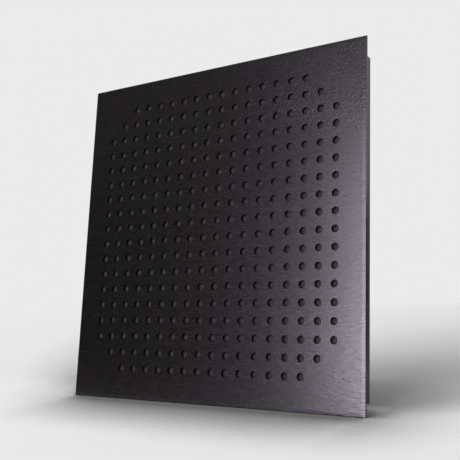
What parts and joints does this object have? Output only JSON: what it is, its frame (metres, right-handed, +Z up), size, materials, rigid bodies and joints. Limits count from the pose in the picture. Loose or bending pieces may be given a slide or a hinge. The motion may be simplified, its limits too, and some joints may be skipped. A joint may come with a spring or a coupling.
{
  "type": "acoustic panel",
  "caption": "Square wall-hung acoustic panel: a black-stained perforated plate on a timber frame that holds fleece and an absorber slab, closed by a back board with keyhole hangers.",
  "frame": {"origin": "centre of the rear face that lies against the wall, on the back board", "axes": "+Y into the wall, -Y out of the perforated front to the room, +Z up, +X to the right as seen from the front"},
  "size_m": [0.6, 0.0528, 0.6],
  "materials": {
    "stained_wood": "black-stained wood face, satin, grain across",
    "painted_timber": "dark grey paint on planed timber, matt",
    "hardboard": "dark hardboard, matt",
    "fleece": "dark grey non-woven fleece",
    "mineral_felt": "dark grey felted absorber slab",
    "beech": "plain beech dowel",
    "zinced_steel": "bright zinc plate",
    "black_steel": "black phosphated screw"
  },
  "bodies": {
    "root": {"front_plate": "stained_wood", "acoustic_fleece": "fleece", "absorber_core": "mineral_felt", "left_rail": "painted_timber", "right_rail": "painted_timber", "top_rail": "painted_timber", "bottom_rail": "painted_timber", "back_board": "hardboard", "dowel_top_left_front": "beech", "dowel_top_left_rear": "beech", "dowel_top_right_front": "beech", "dowel_top_right_rear": "beech", "dowel_bottom_left_front": "beech", "dowel_bottom_left_rear": "beech", "dowel_bottom_right_front": "beech", "dowel_bottom_right_rear": "beech", "board_screw_left_lower": "black_steel", "board_screw_left_upper": "black_steel", "board_screw_right_lower": "black_steel", "board_screw_right_upper": "black_steel", "board_screw_bottom_left": "black_steel", "board_screw_bottom_right": "black_steel", "board_screw_top_left": "black_steel", "board_screw_top_right": "black_steel", "left_hanger": "zinced_steel", "right_hanger": "zinced_steel", "left_hanger_screw_lower": "zinced_steel", "left_hanger_screw_upper": "zinced_steel", "right_hanger_screw_lower": "zinced_steel", "right_hanger_screw_upper": "zinced_steel"}
  },
  "joints": []
}
